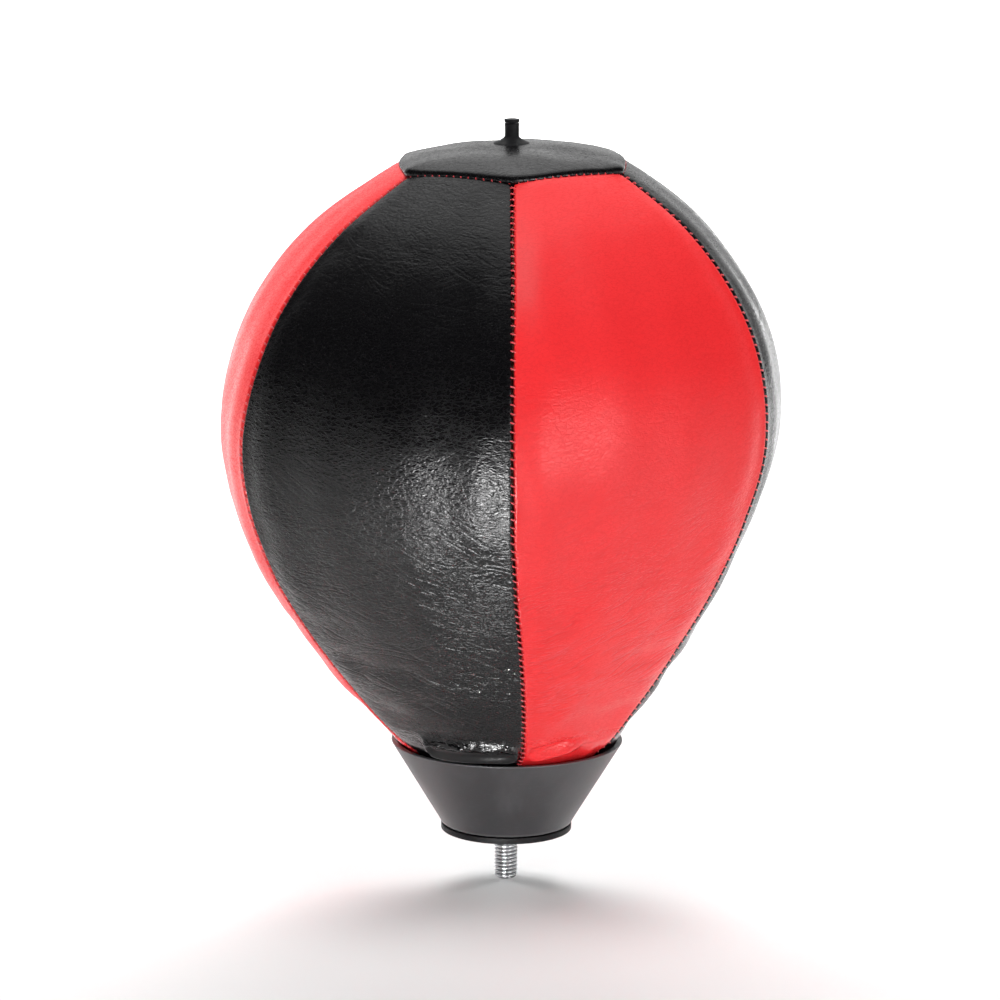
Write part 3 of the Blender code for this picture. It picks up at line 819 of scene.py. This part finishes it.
def satin_plastic():
    """Moulded black plastic with a spark-eroded texture, paler and smoother in thin bands at its rim and
    its foot.
    """
    n = Nodes("satin_plastic", (0.045, 0.044, 0.047), 0.42)
    texture = n.noise(n.place(), 3200, 2.0, 0.6)
    flow = n.noise(n.place((1, 1, 0.35)), 60, 4.0, 0.55, 0.6)
    z = n.height_z()
    # Thin bands at the top of the rim and the bottom of the foot, paler and a little smoother.
    pale_rim_bands = n.math("MAXIMUM",
                    n.spread(z, CUP_HIGH.z - 0.7 * MM, CUP_HIGH.z - 0.1 * MM),
                    n.spread(z, CUP_LOW.z + 1.2 * MM, CUP_LOW.z + 0.3 * MM))
    scratches = n.noise(n.place((1, 1, 9)), 420, 2.0, 0.5)
    n.colours(n.plus(n.times(pale_rim_bands, 0.7), n.spread(flow, 0.35, 0.8, 0.0, 0.3)),
              (0.040, 0.039, 0.042), (0.13, 0.13, 0.135))
    satin = n.spread(flow, 0.3, 0.7, 0.34, 0.46)
    n.link(n.plus(satin, n.times(pale_rim_bands, -0.08)), "Roughness")
    n.bump(n.plus(n.times(texture, 0.035),
                  n.times(n.spread(scratches, 0.62, 0.75), -0.02)))
    return n.material


def zinc():
    """Bright zinc plate with faint clouds and drawing marks, and painted shade darkening the bottoms of
    the thread.
    """
    n = Nodes("bright_zinc", (0.9, 0.91, 0.92), 0.2, 0.85)
    cloud = n.noise(n.place(), 340, 4.0, 0.6)
    marks = n.noise(n.place((1, 1, 6)), 1500, 3.0, 0.6)
    # Painted shade: the colour darkens near the axis, in the bottoms of the thread between its crests.
    painted_root_shade = n.spread(n.from_axis(), 3.35 * MM, 3.80 * MM, 0.95, 0.0)
    cloud_and_root_shade = n.math("MAXIMUM", n.spread(cloud, 0.35, 0.7, 0.0, 0.15), painted_root_shade)
    n.colours(cloud_and_root_shade, (0.96, 0.97, 0.98), (0.22, 0.22, 0.23))
    n.link(n.spread(marks, 0.3, 0.7, 0.16, 0.30), "Roughness")
    n.bump(n.times(marks, 0.012))
    return n.material


def felt():
    """Pressed grey felt with a soft nap."""
    n = Nodes("pressed_felt", (0.25, 0.25, 0.26), 0.95)
    fibres = n.noise(n.bent(n.place((1, 1, 3)), 900, 0.004), 1400, 6.0, 0.7)
    n.colours(fibres, (0.14, 0.14, 0.15), (0.36, 0.36, 0.38))
    n.bump(n.times(fibres, 0.2))
    n.shader.inputs["Sheen Weight"].default_value = 0.5
    return n.material


def latex():
    """Natural rubber dusted with talc."""
    n = Nodes("bladder_latex", (0.38, 0.26, 0.15), 0.6)
    cloud = n.noise(n.place(), 120, 5.0, 0.6)
    talc = n.noise(n.place(), 900, 3.0, 0.7)
    dusted = n.spread(n.plus(cloud, n.times(talc, 0.4)), 0.5, 0.95)
    n.colours(dusted, (0.30, 0.19, 0.10), (0.55, 0.42, 0.28))
    n.link(n.spread(cloud, 0.3, 0.7, 0.5, 0.75), "Roughness")
    n.bump(n.times(talc, 0.03))
    return n.material


# ---- pieces


def finish_piece(piece, node, body):
    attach(piece, body)
    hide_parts(node)


def build_cover(red, black):
    for index in range(GORES):
        points, hide = gore_points(index)
        colour, slot = (black, "black_leather") if index % 2 else (red, "red_leather")
        name = f"cover_panel_{index + 1}"
        panel = leather_sheet(f"leather_{name}", points, hide, False, colour)
        finish_piece(panel, name, "ball")
    points, hide = cap_points()
    cap = leather_sheet("leather_top_panel", points, hide, True, black)
    finish_piece(cap, "top_panel", "ball")


def stitch(centre, across, outward, along):
    """One thread that crosses a seam: a bowed tube, its ends buried in the leather."""
    sides, rings = 7, 7
    points = []
    for step in range(rings):
        t = 2 * step / (rings - 1) - 1
        middle = centre + across * (STITCH_HALF_SPAN * t) + along * (STITCH_SLANT * t)
        middle = middle - outward * (0.62 * MM * abs(t) ** 3)
        thick = THREAD_RADIUS * (1 - 0.25 * abs(t) ** 4)
        for side in range(sides):
            turn = TAU * side / sides
            points.append(middle + (outward * math.cos(turn) + along * math.sin(turn)) * thick)
    return points, rings, sides


def stitches(name, places, material):
    """All the stitches of one seam as one object. A place is a centre and three directions."""
    vertices, faces = [], []
    for centre, across, outward, along in places:
        points, rings, sides = stitch(centre, across, outward, along)
        start = len(vertices)
        vertices += [tuple(p) for p in points]
        faces += [tuple(start + i for i in face) for face in grid_faces(rings, sides, True)]
        faces.append(tuple(start + i for i in range(sides)))
        faces.append(tuple(start + (rings - 1) * sides + i for i in reversed(range(sides))))
    return new_object(name, vertices, faces, material)


def seam_places(index):
    """Where each stitch of a long seam crosses it."""
    first = math.ceil(Outline.along_at_z(CUP_HIGH.z - 3 * MM) / STITCH_PITCH)
    last = int((Outline.length - 2 * MM) / STITCH_PITCH)
    places = []
    for count in range(first, last + 1):
        z, radius, _, out, up = (float(v) for v in Outline.at(count * STITCH_PITCH))
        azimuth = float(settled_azimuth(np.array(seam_azimuth(index)), np.array(z)))
        ray = Vector((math.cos(azimuth), math.sin(azimuth), 0))
        outward = ray * out + Vector((0, 0, up))
        along = ray * -up + Vector((0, 0, out))
        centre = ray * radius + Vector((float(lean(z)), 0, z))
        centre.z += float(cap_tilt(centre.x, z))
        places.append((centre - outward * STITCH_DEPTH, outward.cross(along), outward, along))
    return places


def cap_places():
    """Where each stitch of the cap's seam crosses it."""
    corner_z, corner_radius, share = (float(v) for v in Outline.at(Outline.length)[:3])
    out, up = seam_normal_at_cap()
    per_side = int(corner_radius / STITCH_PITCH)
    places = []
    for side in range(GORES):
        for count in range(per_side):
            across = 2 * (count + 0.5) / per_side - 1
            flat = seam_azimuth(side) + (across + 1) * GORE_ANGLE / 2
            azimuth = float(settled_azimuth(np.array(flat), np.array(corner_z)))
            reach = float(gore_radius(corner_radius, share, across * GORE_ANGLE / 2))
            ray = Vector((math.cos(azimuth), math.sin(azimuth), 0))
            outward = ray * out + Vector((0, 0, up))
            over = ray * -up + Vector((0, 0, out))
            centre = ray * reach + Vector((float(lean(corner_z)), 0, corner_z))
            centre.z += float(cap_edge_rise(across)) + float(cap_tilt(centre.x, corner_z))
            places.append((centre - outward * STITCH_DEPTH, over, outward, outward.cross(over)))
    return places


def build_stitches():
    material = thread_material()
    for index in range(GORES):
        name = f"seam_thread_{index + 1}"
        thread = stitches(f"stitches_{name}", seam_places(index), material)
        finish_piece(thread, name, "ball")
    thread = stitches("stitches_cap_thread", cap_places(), material)
    finish_piece(thread, "cap_thread", "ball")


def build_cup(material):
    """The moulded cup: a thin tapered wall with a lip at the rim and a bead at the foot."""
    rim, foot = CUP_HIGH.x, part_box("base_gasket")[1][0] - 0.2 * MM
    low, high = CUP_LOW.z, CUP_HIGH.z
    slope = (rim - foot) / (high - low)
    wall = 1.8 * MM * math.hypot(1, slope)
    floor = low + 2.3 * MM
    hole = 4.4 * MM
    inner_foot = foot + slope * (floor - low) - wall
    lip, bead = 1.3 * MM, 2.2 * MM
    profile = [
        (rim - wall, high), (rim, high), (rim - slope * lip, high - lip),
        (rim - slope * lip - 0.18 * MM, high - lip - 0.3 * MM),
        (foot + slope * bead - 0.1 * MM, low + bead), (foot, low),
        (hole, low), (hole, floor), (inner_foot, floor),
        (rim - wall - slope * 2 * MM, high - 2 * MM),
    ]

    def wobble(turns, radius, height):
        near_rim = smoothstep(np.array(height), high - 8 * MM, high)
        return -0.22 * MM * near_rim * (0.5 + 0.5 * np.sin(2 * turns + 1.2)) + 0 * turns

    cup = lathe("cup_shell", rounded(profile, 0.5 * MM), 192, material, wobble)
    finish_piece(cup, "base_cup", "cup")


def build_gasket(material):
    """The flat gasket that grips the stud."""
    top, low, edge, bore = GASKET_HIGH.z, GASKET_LOW.z, GASKET_HIGH.x, 4.25 * MM
    profile = [(bore, top), (edge - 0.9 * MM, top - 0.15 * MM), (edge, top), (edge, low), (bore, low)]
    gasket = lathe("gasket_ring", rounded(profile, 0.25 * MM), 160, material)
    finish_piece(gasket, "base_gasket", "ball")


def build_valve(material):
    """The valve: stem, fillet and flange outside the cap, and a neck inside that holds the core."""
    stem, neck, flange, bore = 2.35 * MM, 3.3 * MM, VALVE_HIGH.x, 1.1 * MM
    top, low = VALVE_HIGH.z, VALVE_LOW.z
    seat = 227.2 * MM
    fillet = [(stem + 3.2 * MM * t**1.5, seat + 3.0 * MM - 2.1 * MM * t) for t in np.linspace(0, 1, 9)]
    profile = [
        (bore, top), (stem + 0.1 * MM, top), (stem, top - 1.2 * MM), (stem, seat + 3.2 * MM),
        *fillet,
        (flange - 0.35 * MM, seat + 0.55 * MM), (flange, seat + 0.2 * MM),
        (flange - 0.25 * MM, seat - 0.35 * MM),
        (neck + 0.6 * MM, seat - 0.1 * MM), (neck, seat - 0.3 * MM), (neck, low), (2.0 * MM, low),
        (2.0 * MM, low + 5.3 * MM), (bore, low + 5.3 * MM),
    ]
    body = lathe("valve_moulding", rounded(profile, 0.22 * MM, 3), 96, material)
    finish_piece(body, "valve_body", "ball")


def build_stopper(material):
    """The push-in plug, with a dished head and a small ridge near the end of its shank."""
    head, shank = STOPPER_HIGH.x, 0.9 * MM
    top, under, low = STOPPER_HIGH.z, VALVE_HIGH.z + 0.3 * MM, STOPPER_LOW.z
    tiny = 0.02 * MM
    profile = [
        (tiny, top - 0.15 * MM), (head * 0.45, top - 0.15 * MM), (head * 0.6, top), (head, top),
        (head, under), (shank, under),
        (shank, low + 3.4 * MM), (shank + 0.12 * MM, low + 3.0 * MM), (shank, low + 2.2 * MM),
        (shank * 0.5, low), (tiny, low),
    ]
    plug = lathe("stopper_plug", rounded(profile, 0.2 * MM, 3), 64, material)
    finish_piece(plug, "valve_stopper", "stopper")


def thread_radius(turn, z, tip):
    """Radius of an M8 by 1.25 screw thread with flat crests and rounded roots, run out at its tip."""
    major, depth = 3.95 * MM, 0.68 * MM
    phase = (z / SCREW_PITCH - turn / TAU) % 1
    tooth = np.abs(2 * phase - 1)
    cut = smoothstep(tooth, 0.12, 0.95)
    radius = major - depth * cut
    return np.minimum(radius, major - 0.95 * MM + (z - tip))


def build_stud(material):
    """The bolt: a cut thread along the shank, and a chamfered hexagon head inside the cover."""
    tip, head_top = STUD_LOW.z, STUD_HIGH.z
    head_low = head_top - 5.3 * MM
    segments, per_pitch = 64, 12
    levels = np.arange(tip, head_low + 0.5 * MM, SCREW_PITCH / per_pitch)
    turns = TAU * np.arange(segments) / segments
    rings = turned_about_z(turns, thread_radius(turns[None], levels[:, None], tip), levels[:, None])
    vertices = rings.reshape(-1, 3).tolist()
    faces = grid_faces(len(levels), segments, True)
    faces.append(tuple(reversed(range(segments))))
    faces.append(tuple((len(levels) - 1) * segments + i for i in range(segments)))

    flat = 6.5 * MM
    start = len(vertices)
    edge_steps = 72
    around = TAU * np.arange(edge_steps) / edge_steps
    hexagon = flat / np.cos((around + math.pi / 6) % (math.pi / 3) - math.pi / 6)
    chamfer = (
        (0.93, head_low), (1.0, head_low + 0.4 * MM), (1.0, head_top - 0.8 * MM), (0.9, head_top),
    )
    for share, level in chamfer:
        reach = np.minimum(hexagon, flat * 1.155 * share)
        vertices += [(r * math.cos(a), r * math.sin(a), level) for r, a in zip(reach, around)]
    faces += [tuple(start + i for i in face) for face in grid_faces(len(chamfer), edge_steps, True)]
    faces.append(tuple(start + i for i in reversed(range(edge_steps))))
    faces.append(tuple(start + (len(chamfer) - 1) * edge_steps + i for i in range(edge_steps)))
    stud = new_object("threaded_stud", vertices, faces, material)
    stud.data.set_sharp_from_angle(angle=math.radians(38))
    finish_piece(stud, "stud_bolt", "ball")


def dress_hidden_nodes(zinc_plate, black_rubber, natural_rubber):
    """Gives the CAD pieces that stay as they are their materials."""
    for names, material in (
        (("valve_core",), natural_rubber),
        (("bladder_patch",), black_rubber),
        (("guard_pad",), felt()),
        (("clamp_plate", "hex_nut", "flat_washer", "spring_washer"), zinc_plate),
    ):
        for name in names:
            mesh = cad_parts[name].data
            for slot in range(len(mesh.materials)):
                mesh.materials[slot] = material


# ---- studio


def build_floor():
    """A plain pale floor at the height of the stud's tip."""
    floor_z = CAD_BOX[0][2]
    half = 9.0
    corners = [(x, y, floor_z) for x, y in ((-half, -half), (half, -half), (half, half), (-half, half))]
    n = Nodes("studio_floor", (0.9, 0.9, 0.9), 0.7)
    n.shader.inputs["Specular IOR Level"].default_value = 0.1
    floor = new_object("studio_floor", corners, [(0, 1, 2, 3)], n.material)


def area_light(name, place, target, size, power, lights, spread):
    """A soft disc that lights only the glossy or only the diffuse part of what it shines on."""
    data = bpy.data.lights.new(name, "AREA")
    data.shape = "DISK"
    data.size = size
    data.energy = power
    data.spread = math.radians(spread)
    lamp = bpy.data.objects.new(name, data)
    lamp.location = place
    lamp.rotation_euler = (Vector(target) - Vector(place)).to_track_quat("-Z", "Y").to_euler()
    lamp.visible_camera = False
    lamp.visible_glossy = lights == "glossy"
    lamp.visible_diffuse = lights == "diffuse"
    bpy.context.scene.collection.objects.link(lamp)


def build_world():
    """A white sweep behind the ball and a bright ceiling over it, in an otherwise dark room."""
    world = bpy.data.worlds.new("studio")
    world.use_nodes = True
    tree = world.node_tree
    background = tree.nodes["Background"]
    place = tree.nodes.new("ShaderNodeTexCoord")
    parts = []
    for direction, low, high, strength in (
        ((0, 1, 0), 0.45, 0.95, WORLD_BACK),
        ((0, 0.30, 0.954), 0.5, 0.97, WORLD_TOP),
    ):
        dot = tree.nodes.new("ShaderNodeVectorMath")
        dot.operation = "DOT_PRODUCT"
        dot.inputs[1].default_value = direction
        fade = tree.nodes.new("ShaderNodeMapRange")
        fade.interpolation_type = "SMOOTHSTEP"
        fade.inputs["From Min"].default_value = low
        fade.inputs["From Max"].default_value = high
        fade.inputs["To Min"].default_value = WORLD_DARK / 2
        fade.inputs["To Max"].default_value = strength
        tree.links.new(place.outputs["Generated"], dot.inputs[0])
        tree.links.new(dot.outputs["Value"], fade.inputs["Value"])
        parts.append(fade.outputs["Result"])
    total = tree.nodes.new("ShaderNodeMath")
    tree.links.new(parts[0], total.inputs[0])
    tree.links.new(parts[1], total.inputs[1])
    tree.links.new(total.outputs[0], background.inputs["Strength"])
    background.inputs["Color"].default_value = (1, 1, 1, 1)
    bpy.context.scene.world = world


def build_bladder(material):
    """The blown-up bladder, which follows the cover's inside and is grooved under the seams."""
    low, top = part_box("bladder")[0][2], Outline.length
    start = Outline.along_at_z(37 * MM)
    along = np.linspace(start, top - 3 * MM, 80)
    z, radius, share, out, up = (v[:, None] for v in Outline.at(along))
    columns = GORES * 28
    azimuth = seam_azimuth(0) + TAU * np.arange(columns) / columns
    across = place_across(azimuth)
    distance = radius * (GORE_ANGLE / 2) * (1 - np.abs(across))
    room = smoothstep(z, 34 * MM, 60 * MM)
    depth = 2.4 * MM + (1.2 + 3.0 * room) * MM * bell(distance, 0, 4.5 * MM)
    depth = depth + 3.0 * MM * np.exp(-(top - along[:, None]) / (5 * MM))
    reach = gore_radius(radius, share, across * GORE_ANGLE / 2)
    turned = settled_azimuth(azimuth, z)
    r, height = reach - depth * out, z - depth * up + 0 * reach
    steps = np.linspace(0, 1, 14)[:-1, None] * math.pi / 2
    bottom_r, bottom_z = r[:1] * np.sin(steps + 0.02), low + (height[:1] - low) * (1 - np.cos(steps))
    steps = np.linspace(0, 1, 10)[1:, None]
    top_r = r[-1:] * (1 - steps) + 3.1 * MM * steps
    top_z = height[-1:] + (CAP_APEX_Z - 3.0 * MM - height[-1:]) * (1 - (1 - steps) ** 2.6)
    r, height = np.vstack([bottom_r, r, top_r]), np.vstack([bottom_z, height, top_z])
    turned = np.vstack([turned[:1] + 0 * bottom_r, turned, turned[-1:] + 0 * top_r])
    points = np.stack([r * np.cos(turned) + lean(height), r * np.sin(turned), height], -1)
    points[0] = (lean(np.array(low)), 0, low)
    sheet = new_object("bladder_skin", points, grid_faces(len(points), columns, True), material)
    shell = sheet.modifiers.new("Thickness", "SOLIDIFY")
    shell.thickness = 0.9 * MM
    shell.offset = -1
    finish_piece(sheet, "bladder", "ball")


def build_camera():
    """Level with the photograph's view: a long lens a metre and a half away, a little above the ball."""
    distance, pitch, roll = 1.5, math.radians(11.7), math.radians(0.45)
    aim = Vector((-2.9 * MM, 0, 110.6 * MM))
    data = bpy.data.cameras.new("camera")
    data.sensor_width = 36.0
    data.lens = 36.0 * 3.06 * distance
    camera = bpy.data.objects.new("camera", data)
    back = Vector((0, -math.cos(pitch), math.sin(pitch)))
    turn = back.to_track_quat("Z", "Y").to_matrix().to_4x4() @ Matrix.Rotation(roll, 4, "Z")
    camera.matrix_world = Matrix.Translation(aim + back * distance) @ turn
    bpy.context.scene.collection.objects.link(camera)
    bpy.context.scene.camera = camera


def main():
    # Each leather's second colour is painted shade for its grain's valleys and its creases.
    red = leather("red_leathercloth", (0.86, 0.026, 0.030), (0.76, 0.016, 0.020), 0.6, 0.30,
                  (0.15, 0.50, 0.32, 0.40))
    black = leather("black_leathercloth", (0.0032, 0.0030, 0.0036), (0.0016, 0.0015, 0.0018), 1.0, 0.18,
                    (0.05, 0.55, -0.50, -0.12))
    black_rubber = rubber("black_rubber", (0.005, 0.005, 0.0055), (0.014, 0.014, 0.015))
    zinc_plate = zinc()
    natural_rubber = latex()
    Wrinkles.run()
    build_bladder(natural_rubber)
    build_cover(red, black)
    build_stitches()
    build_valve(black_rubber)
    build_stopper(black_rubber)
    build_cup(satin_plastic())
    build_gasket(black_rubber)
    build_stud(zinc_plate)
    dress_hidden_nodes(zinc_plate, black_rubber, natural_rubber)
    bpy.context.scene.view_settings.view_transform = "Standard"
    build_floor()
    build_world()
    for lamp in LAMPS:
        area_light(*lamp)
    build_camera()


main()
